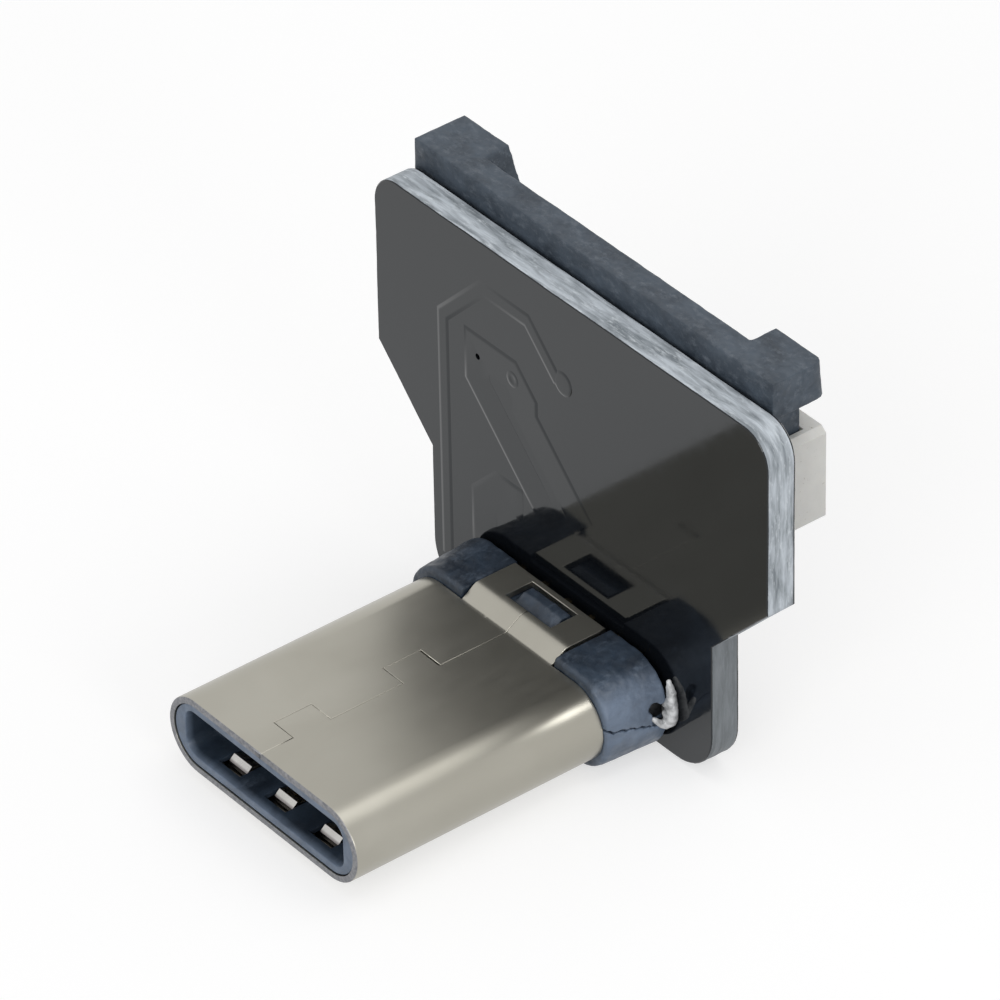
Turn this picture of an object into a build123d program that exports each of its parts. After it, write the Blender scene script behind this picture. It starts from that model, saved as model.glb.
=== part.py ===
from build123d import *
from math import atan2, degrees
import os

os.makedirs("parts", exist_ok=True)

# Sizes are in millimetres. +X runs across the plug and the board, +Z runs up the board
# towards the cable slot, and the plug's nose points along -Y. The origin is the centre of
# the plug's section, in the plane where its shell meets the rear housing.

# Plug nose: the rolled shell
plug_width = 8.25
plug_height = 2.40
plug_reach = 8.40
shell_wall = 0.20
mouth_round = 0.07

# Seam along the top of the shell, with its locking tabs
seam_gap = 0.04
seam_tab_depth = 0.86
seam_tab_length = 1.26
seam_tab_setback = 2.32
seam_tab_pitch = 3.71
seam_tab_count = 2

# Rear flaps of the shell, which snap over the rear housing
flap_width = 3.90
flap_rise = 0.35
flap_ramp = 0.50
flap_length = 1.85
flap_root = 0.40
flap_bend = 0.20
window_width = 1.94
window_length = 0.93
window_start = 0.73
window_corner = 0.12

# Front moulding inside the shell
insulator_gap = 0.02
insulator_recess = 0.05
cavity_side_wall = 0.505
cavity_roof_wall = 0.30
cavity_corner = 0.35
lead_in_depth = 0.30
lead_in_height = 0.06
groove_width = 0.30
groove_depth = 0.10
groove_setback = 2.20

# Front ground springs, one above and one below the cavity, set back from the mouth
spring_thickness = 0.10
spring_gap = 0.01
spring_side_margin = 0.40
spring_back_setback = 3.40
spring_front_setback = 1.50
pocket_setback = 0.40
finger_count = 3
finger_pitch = 2.00
finger_width = 0.78
finger_window = 0.94
window_setback = 1.60
finger_bend_setback = 0.88
finger_tip_setback = 0.74
finger_stand_in = 0.04
finger_tip_rise = 0.17
finger_foot = 0.07

# Spring contacts, a row above and a row below the middle plate
contact_count = 12
contact_pitch = 0.50
contact_thickness = 0.12
contact_width = 0.22
contact_fit = 0.01
contact_tip_setback = 2.30
contact_tip_height = 0.60
contact_crown_setback = 2.85
contact_crown_height = 0.30
contact_root_reach = 1.70
contact_root_height = 0.52
contact_row_height = 0.45
outer_tail_height = 0.95
tail_jog_start = 0.55
tail_jog_length = 0.55
tail_stand_out = 0.45

# Middle plate with its latch arms and solder legs
latch_thickness = 0.20
latch_body_margin = 0.10
latch_body_reach = 1.50
latch_arm_outset = 0.04
latch_arm_width = 0.26
latch_setback = 1.35
latch_hook = 0.32
latch_hook_length = 0.60
latch_hook_flat = 0.10
latch_link_start = 0.30
latch_link_width = 0.60
latch_slot_gap = 0.05
leg_inset = 0.275
leg_width = 0.50
leg_shoulder = 0.55
leg_shoulder_length = 0.75

# Rear housing, moulded in two halves round the contacts
collar_length = 2.00
collar_side_step = 0.175
collar_flare = 0.15
collar_height_step = 0.30
collar_corner = 1.35
collar_edge = 0.12
collar_parting = 0.03
nose_length = 1.60
nose_gap = 0.03
plate_fit = 0.01
flap_side_gap = 0.05
flap_seat_gap = 0.05
bump_width = 1.66
bump_start = 0.95
bump_length = 0.62
bump_below_flap = 0.03
notch_length = 0.55
notch_height = 0.50
notch_depth = 0.30

# T-shaped board, square to the plug
board_gap = 0.20
board_thickness = 0.95
board_width = 16.65
board_top = 11.08
board_shoulder = 5.43
tongue_width = 12.04
tongue_shoulder = 3.08
tongue_drop = 1.50
board_corner = 1.00
tongue_corner = 1.50
tail_hole = 0.36
hole_sides = 12
leg_hole_gap = 0.08
via_hole = 0.25
pin_hole = 0.12

# Raised copper on the board's front, under the mask
track_height = 0.04
wide_track = 0.42
fine_track = 0.17
via_pad = 0.56

# Solder round the tails and the legs
joint_base = 0.62
joint_top = 0.34
joint_height = 0.28
blob_width = 0.80
blob_height = 1.25
blob_inset = 0.10
blob_centre = 0.48
leg_joint_height = 0.35

# Flat-cable connector on the board's back
ways = 20
way_pitch = 0.50
connector_shift = -0.30
connector_width = 15.00
connector_height = 2.00
housing_rear = 6.75
housing_length = 2.85
housing_lift = 0.05
housing_edge = 0.12
cable_slot_width = 10.90
cable_slot_floor = 0.45
cable_slot_height = 1.00
cable_slot_end = 0.85
way_slot = 0.24
way_slot_roof = 0.20
arm_pocket_end = 0.65

# Stamped contacts of the flat-cable connector
blade_thickness = 0.18
blade_foot = 0.80
blade_foot_height = 0.15
blade_riser_start = 0.20
blade_riser = 0.40
blade_beam = 0.22
blade_beam_length = 1.85
blade_point = 0.22
blade_point_back = 0.25
blade_point_length = 0.45
blade_roof_gap = 0.05

# Soldered anchors at the connector's ends
anchor_thickness = 0.14
anchor_length = 1.40
anchor_start = 0.55
anchor_foot = 0.40
anchor_rise = 0.75
anchor_fit = 0.01

# Locking bar, drawn pulled out to its stop
lock_travel = 1.00
lock_width = 15.10
lock_board_gap = 0.10
ear_rest_gap = 0.07
bar_depth = 0.90
bar_height = 1.10
bar_waist = 0.16
bar_waist_length = 0.93
ear_width = 1.95
ear_depth = 1.85
ear_height = 1.20
ear_corner = 0.30
lock_edge = 0.06
arm_outer_inset = 0.45
arm_width = 0.60
arm_front = 0.30
arm_depth = 1.15
arm_end_gap = 0.07
arm_gap = 0.05
tongue_gap = 0.05
lock_tongue_thickness = 0.40
tongue_end_gap = 0.10
lock_tongue_chamfer = 0.20

# Pads on the board's back
pad_height = 0.04
way_pad_width = 0.28
way_pad_length = 1.30
way_pad_inset = 0.20
anchor_pad_margin = 0.20
fillet_width = 0.24
fillet_length = 0.25
fillet_height = 0.12

# Chip resistor on the board's back
resistor_x = -1.60
resistor_z = 3.40
resistor_length = 1.60
resistor_width = 0.80
resistor_height = 0.45
cap_length = 0.32
cap_wall = 0.03
resistor_pad_reach = 0.35

# Places worked out from the sizes
mouth_y = -plug_reach
board_front = collar_length + board_gap
board_back = board_front + board_thickness
wall_centre = (plug_height - shell_wall) / 2
insulator_width = plug_width - 2 * (shell_wall + insulator_gap)
insulator_height = plug_height - 2 * (shell_wall + insulator_gap)
cavity_width = insulator_width - 2 * cavity_side_wall
cavity_height = insulator_height - 2 * cavity_roof_wall
groove_reach = plug_reach - groove_setback
spring_width = cavity_width - 2 * spring_side_margin
spring_back = plug_reach - spring_back_setback
spring_front = plug_reach - spring_front_setback
pocket_front = plug_reach - pocket_setback
finger_window_back = plug_reach - window_setback
finger_bend_reach = plug_reach - finger_bend_setback
finger_tip_reach = plug_reach - finger_tip_setback
finger_bend_height = cavity_height / 2 + spring_thickness / 2 - finger_stand_in
finger_tip_height = finger_bend_height + finger_tip_rise
contact_tip_reach = plug_reach - contact_tip_setback
contact_crown_reach = plug_reach - contact_crown_setback
latch_body_width = cavity_width - 2 * latch_body_margin
latch_arm_inner = cavity_width / 2 + latch_arm_outset
latch_reach = plug_reach - latch_setback
leg_inner = plug_width / 2 - leg_inset
collar_front_width = plug_width + 2 * collar_side_step
collar_rear_width = collar_front_width + 2 * collar_flare
collar_height = plug_height + 2 * collar_height_step
pocket_floor = insulator_height / 2 - spring_thickness - 2 * spring_gap
spring_low = pocket_floor + spring_gap
flap_under = plug_height / 2 - shell_wall + flap_rise
flap_top = plug_height / 2 + flap_rise
housing_top = housing_rear + housing_length
seat = board_back + pad_height
past = 1.0
bite = 0.10


def spread(count, pitch):
    """Evenly spaced places along a row, centred on zero."""
    return [(n - (count - 1) / 2) * pitch for n in range(count)]


# Shell: a stadium tube rolled from sheet, seamed on top and flapped at the rear
seam_points = [(0, window_start + window_length / 2)]
for n in range(seam_tab_count):
    tab_near = -seam_tab_setback - n * seam_tab_pitch
    tab_far = tab_near - seam_tab_length
    seam_points += [(0, tab_near), (-seam_tab_depth, tab_near)]
    seam_points += [(-seam_tab_depth, tab_far), (0, tab_far)]
seam_points += [(0, mouth_y - shell_wall)]

with BuildPart() as plug_shell:
    with BuildSketch(Plane.XZ):
        SlotOverall(plug_width, plug_height)
        SlotOverall(plug_width - 2 * shell_wall, plug_height - 2 * shell_wall, mode=Mode.SUBTRACT)
    extrude(amount=plug_reach)
    mouth = plug_shell.faces().sort_by(Axis.Y)[0]
    fillet(mouth.outer_wire().edges(), mouth_round)
    with BuildSketch(Plane.YZ):
        with BuildLine():
            FilletPolyline(
                (-flap_root, wall_centre),
                (0, wall_centre),
                (flap_ramp, wall_centre + flap_rise),
                (flap_length, wall_centre + flap_rise),
                radius=flap_bend,
            )
        trace(line_width=shell_wall)
    extrude(amount=flap_width / 2, both=True)
    mirror(about=Plane.XY)
    with BuildSketch(Plane.XY):
        with Locations((0, window_start + window_length / 2)):
            RectangleRounded(window_width, window_length, window_corner)
    extrude(amount=plug_height, both=True, mode=Mode.SUBTRACT)
    with BuildSketch(Plane.XY):
        with BuildLine():
            Polyline(seam_points)
        trace(line_width=seam_gap)
    extrude(amount=plug_height, mode=Mode.SUBTRACT)

# Front moulding: fills the shell round the mating cavity
with BuildPart() as plug_insulator:
    with BuildSketch(Plane.XZ):
        SlotOverall(insulator_width, insulator_height)
        RectangleRounded(cavity_width, cavity_height, cavity_corner, mode=Mode.SUBTRACT)
    extrude(amount=plug_reach - insulator_recess)
    rim = plug_insulator.faces().sort_by(Axis.Y)[0]
    chamfer(rim.inner_wires()[0].edges(), lead_in_height, lead_in_depth, reference=rim)
    with BuildSketch(Plane.XZ):
        with GridLocations(contact_pitch, contact_pitch, contact_count, 1):
            Rectangle(groove_width, cavity_height + 2 * groove_depth)
    extrude(amount=groove_reach, mode=Mode.SUBTRACT)
    with BuildSketch(Plane.XZ):
        slot_reach = latch_arm_inner + latch_arm_width + latch_slot_gap
        Rectangle(2 * slot_reach, latch_thickness + 2 * latch_slot_gap)
    extrude(amount=latch_reach + 2 * latch_slot_gap, mode=Mode.SUBTRACT)
    split(bisect_by=Plane.XY, keep=Keep.TOP)
    with BuildSketch(Plane.XY.offset(pocket_floor)):
        with Locations((0, -(pocket_front + spring_back - spring_gap) / 2)):
            Rectangle(spring_width + 2 * spring_gap, pocket_front - spring_back + spring_gap)
    extrude(amount=plug_height, mode=Mode.SUBTRACT)
    with BuildSketch(Plane.XY):
        with Locations((0, -(pocket_front + finger_window_back) / 2)):
            with GridLocations(finger_pitch, finger_pitch, finger_count, 1):
                Rectangle(finger_window, pocket_front - finger_window_back)
    extrude(amount=plug_height, mode=Mode.SUBTRACT)
    mirror(about=Plane.XY)

# Ground spring: a plate in the moulding's pocket, with fingers bent into the cavity
finger_planes = [Plane.YZ.offset(x) for x in spread(finger_count, finger_pitch)]
plate_centre = spring_low + spring_thickness / 2
with BuildPart() as upper_ground_spring:
    with BuildSketch(Plane.XY.offset(spring_low)):
        with Locations((0, -(spring_front + spring_back) / 2)):
            Rectangle(spring_width, spring_front - spring_back)
    extrude(amount=spring_thickness)
    with BuildSketch(*finger_planes):
        with BuildLine():
            Polyline(
                (-spring_back, plate_centre),
                (-spring_front, plate_centre),
                (-finger_bend_reach, finger_bend_height),
                (-finger_tip_reach, finger_tip_height),
                (-finger_tip_reach, finger_tip_height + finger_foot),
            )
        trace(line_width=spring_thickness)
    extrude(amount=finger_width / 2, both=True)

with BuildPart() as lower_ground_spring:
    add(upper_ground_spring.part.mirror(Plane.XY))


def contact_side(row_height, grow):
    """Side view of one plug contact, from its sprung tip to its tail, grown all round."""
    with BuildSketch() as side:
        with BuildLine():
            Polyline(
                (-contact_tip_reach, contact_tip_height),
                (-contact_crown_reach, contact_crown_height),
                (-contact_root_reach, contact_root_height),
                (0, contact_row_height),
                (tail_jog_start, contact_row_height),
                (tail_jog_start + tail_jog_length, row_height),
                (board_back + tail_stand_out, row_height),
            )
        trace(line_width=contact_thickness + 2 * grow)
    return side.sketch


# Contacts: every second tail is jogged out, so the holes stand in two rows
places = spread(contact_count, contact_pitch)
tail_rows = [(places[0::2], contact_row_height), (places[1::2], outer_tail_height)]


def contact_row(grow):
    """The upper row of contacts as separate solids, each grown all round."""
    with BuildPart() as row:
        for xs, row_height in tail_rows:
            with BuildSketch(*[Plane.YZ.offset(x) for x in xs]):
                add(contact_side(row_height, grow))
            extrude(amount=contact_width / 2 + grow, both=True)
    return row.part


with BuildPart() as upper_contacts:
    add(contact_row(0))

with BuildPart() as lower_contacts:
    add(contact_row(0).mirror(Plane.XY))


def plate_outline(grow):
    """Plan of the middle plate: body, two hooked arms forward and two legs back."""
    arm_centre = latch_arm_inner + latch_arm_width / 2
    leg_end = board_back + tail_stand_out
    with BuildSketch() as plan:
        body_length = latch_body_reach + leg_shoulder + leg_shoulder_length
        with Locations((0, body_length / 2 - latch_body_reach)):
            Rectangle(latch_body_width, body_length)
        with Locations((0, -latch_link_start - latch_link_width / 2)):
            Rectangle(2 * (latch_arm_inner + latch_arm_width), latch_link_width)
        with Locations((0, leg_shoulder + leg_shoulder_length / 2)):
            Rectangle(2 * (leg_inner + leg_width), leg_shoulder_length)
        for side in (-1, 1):
            with Locations((side * arm_centre, -(latch_reach + latch_link_start) / 2)):
                Rectangle(latch_arm_width, latch_reach - latch_link_start)
            with Locations((side * (leg_inner + leg_width / 2), (leg_shoulder + leg_end) / 2)):
                Rectangle(leg_width, leg_end - leg_shoulder)
            hook_x = side * (latch_arm_inner - latch_hook)
            root_x = side * arm_centre
            with BuildLine():
                Polyline(
                    (root_x, -latch_reach),
                    (side * latch_arm_inner, -latch_reach),
                    (hook_x, -latch_reach + latch_hook),
                    (hook_x, -latch_reach + latch_hook + latch_hook_flat),
                    (side * latch_arm_inner, -latch_reach + latch_hook_length),
                    (root_x, -latch_reach + latch_hook_length),
                    close=True,
                )
            make_face()
        if grow > 0:
            offset(amount=grow, kind=Kind.INTERSECTION)
    return plan.sketch


with BuildPart() as latch_plate:
    with BuildSketch(Plane.XY):
        add(plate_outline(0))
    extrude(amount=latch_thickness / 2, both=True)

# Rear housing: the upper half, with the seat and the snap bump for the shell's flap
with BuildPart() as plate_room:
    with BuildSketch(Plane.XY):
        add(plate_outline(plate_fit))
    extrude(amount=latch_thickness / 2 + plate_fit, both=True)

with BuildPart() as contact_room:
    add(contact_row(contact_fit))

with BuildPart() as rear_half:
    with BuildSketch(Plane.XZ):
        RectangleRounded(collar_front_width, collar_height, collar_corner)
    with BuildSketch(Plane.XZ.offset(-collar_length)):
        RectangleRounded(collar_rear_width, collar_height, collar_corner)
    loft()
    fillet(rear_half.faces().sort_by(Axis.Y)[0].edges(), collar_edge)
    with BuildSketch(Plane.XZ):
        nose_width = cavity_width - 2 * nose_gap
        RectangleRounded(nose_width, cavity_height - 2 * nose_gap, cavity_corner)
    extrude(amount=nose_length)
    split(bisect_by=Plane.XY.offset(collar_parting / 2), keep=Keep.TOP)
    with BuildSketch(Plane.YZ):
        with BuildLine():
            Polyline(
                (0, plug_height / 2 - shell_wall - flap_seat_gap),
                (flap_ramp, flap_under - flap_seat_gap),
                (collar_length + past, flap_under - flap_seat_gap),
                (collar_length + past, flap_top + past),
                (0, flap_top + past),
                close=True,
            )
        make_face()
    extrude(amount=flap_width / 2 + flap_side_gap, both=True, mode=Mode.SUBTRACT)
    with BuildSketch(Plane.YZ):
        bump_end = bump_start + bump_length
        bump_top = flap_top - bump_below_flap
        bump_foot = flap_under - flap_seat_gap
        with BuildLine():
            Polyline(
                (bump_start, bump_foot),
                (bump_end, bump_foot),
                (bump_end, bump_top),
                (bump_start + bump_length / 2, bump_top),
                close=True,
            )
        make_face()
    extrude(amount=bump_width / 2, both=True)
    add(plate_room.part, mode=Mode.SUBTRACT)
    add(contact_room.part, mode=Mode.SUBTRACT)

with BuildPart() as upper_rear_housing:
    add(rear_half.part)
    with BuildSketch(Plane.XY):
        with Locations((collar_rear_width / 2, collar_length), (-collar_rear_width / 2, collar_length)):
            Rectangle(2 * notch_depth, 2 * notch_length)
    extrude(amount=notch_height, mode=Mode.SUBTRACT)

with BuildPart() as lower_rear_housing:
    add(rear_half.part.mirror(Plane.XY))

# Board: a T in outline, with a plated hole of twelve flats for each tail, and slots for the legs
hole_places = []
for xs, row_height in tail_rows:
    hole_places += [(x, side * row_height) for x in xs for side in (-1, 1)]
leg_places = [(side * (leg_inner + leg_width / 2), 0) for side in (-1, 1)]
via_places = [(-0.05, 8.20), (-2.34, 7.31)]
pin_hole_place = (-3.86, 7.23)

with BuildPart() as circuit_board:
    with BuildSketch(Plane.XZ.offset(-board_back)):
        with BuildLine():
            Polyline(
                (0, -tongue_drop),
                (tongue_width / 2, -tongue_drop),
                (tongue_width / 2, tongue_shoulder),
                (board_width / 2, board_shoulder),
                (board_width / 2, board_top),
                (0, board_top),
            )
            mirror(about=Plane.YZ)
        make_face()
        fillet(vertices().group_by(Axis.Y)[0], tongue_corner)
        fillet(vertices().group_by(Axis.Y)[-1], board_corner)
        with Locations(*hole_places):
            RegularPolygon(tail_hole / 2, hole_sides, mode=Mode.SUBTRACT)
        with Locations(*leg_places):
            leg_slot = leg_width + 2 * leg_hole_gap
            Rectangle(leg_slot, latch_thickness + 2 * leg_hole_gap, mode=Mode.SUBTRACT)
        with Locations(*via_places):
            Circle(via_hole / 2, mode=Mode.SUBTRACT)
        with Locations(pin_hole_place):
            Circle(pin_hole / 2, mode=Mode.SUBTRACT)
    extrude(amount=board_thickness)

# Raised tracks on the front, at the plug side's left
wide_route = [(-5.38, -0.30), (-5.38, 7.85), (-3.65, 9.58), (-1.70, 9.58), (-0.35, 8.23), via_places[0]]
fine_routes = [
    [(-4.42, 7.95), (-2.20, 7.95), (-1.32, 7.07), (-1.32, 6.62), (0.42, 4.88)],
    [(-4.42, 7.95), (-4.42, 6.27), (-2.00, 3.85)],
    [(-4.23, 1.20), (-4.23, 2.70), (-3.18, 3.75), (-2.10, 3.75)],
]
with BuildPart() as front_tracks:
    with BuildSketch(Plane.XZ.offset(-board_front)):
        with BuildLine():
            Polyline(wide_route)
        trace(line_width=wide_track)
        for points in fine_routes:
            with BuildLine():
                Polyline(points)
            trace(line_width=fine_track)
        with Locations(*via_places):
            Circle(via_pad / 2)
            Circle(via_hole / 2, mode=Mode.SUBTRACT)
    extrude(amount=track_height)

# Solder on the back, one cone round each tail
joint_taper = degrees(atan2((joint_base - joint_top) / 2, joint_height))
with BuildPart() as plug_solder:
    with BuildSketch(Plane.XZ.offset(-board_back)):
        with Locations(*hole_places):
            RegularPolygon(joint_base / 2, hole_sides)
    extrude(amount=-joint_height, taper=joint_taper)
    with BuildSketch(Plane.XZ.offset(-board_back)):
        with Locations(*hole_places):
            Rectangle(contact_width + 2 * contact_fit, contact_thickness + 2 * contact_fit)
    extrude(amount=-joint_height, mode=Mode.SUBTRACT)

# Solder at the legs: a blob squeezed out in front of the board and a mound behind it
with BuildPart() as leg_solder:
    with BuildSketch(Plane.XZ.offset(-board_front)):
        for side in (-1, 1):
            with Locations((side * (collar_rear_width / 2 - blob_inset), blob_centre)):
                Rectangle(blob_width, blob_height)
    extrude(amount=board_gap)
    with BuildSketch(Plane.XZ.offset(-board_back)):
        with Locations(*leg_places):
            Rectangle(leg_width + 2 * leg_hole_gap, joint_base)
    extrude(amount=-leg_joint_height, taper=joint_taper)
    with BuildSketch(Plane.XZ.offset(-board_front)):
        with Locations(*leg_places):
            Rectangle(leg_width + 2 * plate_fit, latch_thickness + 2 * plate_fit)
    extrude(amount=board_thickness + tail_stand_out, both=True, mode=Mode.SUBTRACT)

# Flat-cable connector: the ivory housing, soldered flat on the board's back
connector_mid = Plane.YZ.offset(connector_shift)
way_planes = [connector_mid.offset(x) for x in spread(ways, way_pitch)]
housing_low = board_back + housing_lift
housing_high = board_back + connector_height
slot_low = board_back + cable_slot_floor
slot_high = slot_low + cable_slot_height
slot_end = housing_rear + cable_slot_end
groove_roof = housing_high - way_slot_roof
arm_outer = lock_width / 2 - arm_outer_inset
arm_low = board_back + arm_front
arm_pocket_floor = housing_rear + arm_pocket_end
anchor_low = housing_rear + anchor_start

with BuildPart() as connector_housing:
    with BuildSketch(connector_mid):
        with Locations(((housing_low + housing_high) / 2, housing_rear + housing_length / 2)):
            Rectangle(housing_high - housing_low, housing_length)
    extrude(amount=connector_width / 2, both=True)
    ends = connector_housing.edges().filter_by(Axis.Z).group_by(Axis.Y)[-1]
    chamfer(ends, housing_edge)
    with BuildSketch(connector_mid):
        with Locations(((slot_low + slot_high) / 2, (slot_end + housing_top + past) / 2)):
            Rectangle(cable_slot_height, housing_top + past - slot_end)
    extrude(amount=cable_slot_width / 2, both=True, mode=Mode.SUBTRACT)
    with BuildSketch(*way_planes):
        with BuildLine():
            Polyline(
                (board_back, housing_rear - past),
                (groove_roof, housing_rear - past),
                (groove_roof, housing_top + past),
                (slot_high - bite, housing_top + past),
                (slot_high - bite, slot_end),
                (board_back, slot_end),
                close=True,
            )
        make_face()
    extrude(amount=way_slot / 2, both=True, mode=Mode.SUBTRACT)
    with BuildSketch(Plane.XY.offset(housing_top)):
        for side in (-1, 1):
            arm_x = connector_shift + side * (arm_outer - arm_width / 2)
            with Locations((arm_x, arm_low + arm_depth / 2)):
                Rectangle(arm_width + 2 * arm_gap, arm_depth + 2 * arm_gap)
    extrude(amount=arm_pocket_floor - housing_top, mode=Mode.SUBTRACT)
    with BuildSketch(Plane.XY.offset(anchor_low - anchor_fit)):
        for side in (-1, 1):
            with Locations((connector_shift + side * connector_width / 2, board_back)):
                Rectangle(2 * (anchor_thickness + anchor_fit), 2 * (anchor_rise + anchor_fit))
    extrude(amount=anchor_length + 2 * anchor_fit, mode=Mode.SUBTRACT)

# The one moulding is handed over in simple pieces round its cable slot: rear bar, floor, roof, ends
housing_mid = (housing_low + housing_high) / 2


def housing_piece(width, low, high, start, end):
    """The part of the housing between two heights off the board and two places up it."""
    with BuildPart() as piece:
        add(connector_housing.part)
        with Locations((connector_shift, (low + high) / 2, (start + end) / 2)):
            Box(width, high - low, end - start, mode=Mode.INTERSECT)
    return piece


connector_rear = housing_piece(cable_slot_width, housing_low, housing_high, housing_rear, slot_end)
connector_floor = housing_piece(cable_slot_width, housing_low, slot_low, slot_end, housing_top)
connector_roof = housing_piece(cable_slot_width, slot_high, housing_high, slot_end, housing_top)
with BuildPart() as connector_ends:
    add(connector_housing.part)
    with Locations((connector_shift, housing_mid, housing_rear + housing_length / 2)):
        Box(cable_slot_width, connector_height, housing_length, mode=Mode.SUBTRACT)

# One stamped contact in each slot: foot, riser and a sprung beam under the roof
beam_high = groove_roof - blade_roof_gap
beam_low = beam_high - blade_beam
riser_low = housing_rear + blade_riser_start
riser_high = riser_low + blade_riser
beam_end = riser_high + blade_beam_length
point_back = beam_end - blade_point_back
foot_high = seat + blade_foot_height

with BuildPart() as connector_contacts:
    with BuildSketch(*way_planes):
        with BuildLine():
            Polyline(
                (seat, housing_rear - blade_foot),
                (foot_high, housing_rear - blade_foot),
                (foot_high, riser_low),
                (beam_high, riser_low),
                (beam_high, beam_end),
                (beam_low, beam_end),
                (beam_low - blade_point, point_back),
                (beam_low, point_back - blade_point_length),
                (beam_low, riser_high),
                (seat, riser_high),
                close=True,
            )
        make_face()
    extrude(amount=blade_thickness / 2, both=True)

# Anchors: an angle of sheet at each end, one leaf on the housing and one on the board
with BuildPart() as connector_anchors:
    with BuildSketch(Plane.XY.offset(anchor_low)):
        for side in (-1, 1):
            end_x = connector_shift + side * connector_width / 2
            leaf_x = end_x - side * anchor_thickness / 2
            foot_x = end_x + side * (anchor_foot - anchor_thickness) / 2
            with Locations((leaf_x, seat + anchor_rise / 2 - pad_height / 2)):
                Rectangle(anchor_thickness, anchor_rise - pad_height)
            with Locations((foot_x, seat + anchor_thickness / 2)):
                Rectangle(anchor_foot + anchor_thickness, anchor_thickness)
    extrude(amount=anchor_length)

# Locking bar: bar and ears outside, with a tongue and two arms down in the housing
ear_low = housing_top + ear_rest_gap + lock_travel
lock_top = ear_low + ear_height
arm_end = arm_pocket_floor + arm_end_gap + lock_travel
tongue_end = slot_end + tongue_end_gap + lock_travel
bar_low = lock_top - bar_height
lock_front = board_back + lock_board_gap
ear_inner = lock_width / 2 - ear_width
with BuildPart() as lock_slider:
    with BuildSketch(Plane.XY.offset(lock_top)):
        with Locations((connector_shift, lock_front + bar_depth / 2)):
            Rectangle(2 * ear_inner, bar_depth)
        for side in (-1, 1):
            waist_x = connector_shift + side * (ear_inner - bar_waist_length / 2)
            with Locations((waist_x, lock_front + bar_depth)):
                Rectangle(bar_waist_length, 2 * bar_waist, mode=Mode.SUBTRACT)
    extrude(amount=-bar_height)
    with BuildSketch(Plane.XY.offset(lock_top)):
        for side in (-1, 1):
            ear_x = connector_shift + side * (lock_width - ear_width) / 2
            with Locations((ear_x, lock_front + ear_depth / 2)):
                Rectangle(ear_width, ear_depth)
        fillet(vertices().group_by(Axis.Y)[-1].group_by(Axis.X)[0], ear_corner)
        fillet(vertices().group_by(Axis.Y)[-1].group_by(Axis.X)[-1], ear_corner)
    extrude(amount=-ear_height)
    top = lock_slider.faces().sort_by(Axis.Z)[-1]
    chamfer(top.edges(), lock_edge)
    with BuildSketch(Plane.XY.offset(ear_low)):
        for side in (-1, 1):
            arm_x = connector_shift + side * (arm_outer - arm_width / 2)
            with Locations((arm_x, arm_low + arm_depth / 2)):
                Rectangle(arm_width, arm_depth)
    extrude(amount=arm_end - ear_low)
    with BuildSketch(connector_mid):
        tongue_low = slot_low + tongue_gap
        tongue_high = tongue_low + lock_tongue_thickness
        with BuildLine():
            Polyline(
                (tongue_low, bar_low),
                (tongue_high, bar_low),
                (tongue_high, tongue_end + lock_tongue_chamfer),
                (tongue_high - lock_tongue_chamfer, tongue_end),
                (tongue_low, tongue_end),
                close=True,
            )
        make_face()
    extrude(amount=cable_slot_width / 2 - arm_gap, both=True)

# Pads on the board's back, for the contacts' feet, the anchors and the resistor
pad_span = resistor_length / 2 + resistor_pad_reach
pad_inner = resistor_length / 2 - cap_length
with BuildPart() as back_pads:
    with BuildSketch(Plane.XZ.offset(-board_back)):
        way_pad_top = housing_rear + way_pad_inset
        with Locations((connector_shift, way_pad_top - way_pad_length / 2)):
            with GridLocations(way_pitch, way_pitch, ways, 1):
                Rectangle(way_pad_width, way_pad_length)
        for side in (-1, 1):
            end_x = connector_shift + side * connector_width / 2
            foot_x = end_x + side * (anchor_foot - anchor_thickness) / 2
            with Locations((foot_x, anchor_low + anchor_length / 2)):
                Rectangle(anchor_foot + anchor_thickness, anchor_length + anchor_pad_margin)
            pad_x = resistor_x + side * (pad_span + pad_inner) / 2
            with Locations((pad_x, resistor_z)):
                Rectangle(pad_span - pad_inner, resistor_width)
    extrude(amount=-pad_height)

# Solder fillets at the toes of the contacts' feet and along the anchors
with BuildPart() as connector_solder:
    with BuildSketch(*way_planes):
        toe = housing_rear - blade_foot
        with BuildLine():
            Polyline((seat, toe), (seat + fillet_height, toe), (seat, toe - fillet_length), close=True)
        make_face()
    extrude(amount=fillet_width / 2, both=True)

# Chip resistor: ceramic body, plated ends that wrap it, and its solder
resistor_seat = seat + cap_wall
with BuildPart() as resistor_body:
    with BuildSketch(Plane.XZ.offset(-resistor_seat)):
        with Locations((resistor_x, resistor_z)):
            Rectangle(resistor_length - 2 * cap_wall, resistor_width - 2 * cap_wall)
    extrude(amount=-(resistor_height - 2 * cap_wall))

with BuildPart() as resistor_caps:
    with BuildSketch(Plane.XZ.offset(-seat)):
        for side in (-1, 1):
            with Locations((resistor_x + side * (resistor_length - cap_length) / 2, resistor_z)):
                Rectangle(cap_length, resistor_width)
    extrude(amount=-resistor_height)
    add(resistor_body.part, mode=Mode.SUBTRACT)

with BuildPart() as resistor_solder:
    for side in (-1, 1):
        end_x = resistor_x + side * resistor_length / 2
        with BuildSketch(Plane.XY.offset(resistor_z)):
            with BuildLine():
                Polyline(
                    (end_x, seat),
                    (end_x, seat + resistor_height / 2),
                    (end_x + side * resistor_pad_reach, seat),
                    close=True,
                )
            make_face()
        extrude(amount=resistor_width / 2 - cap_wall, both=True)

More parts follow.
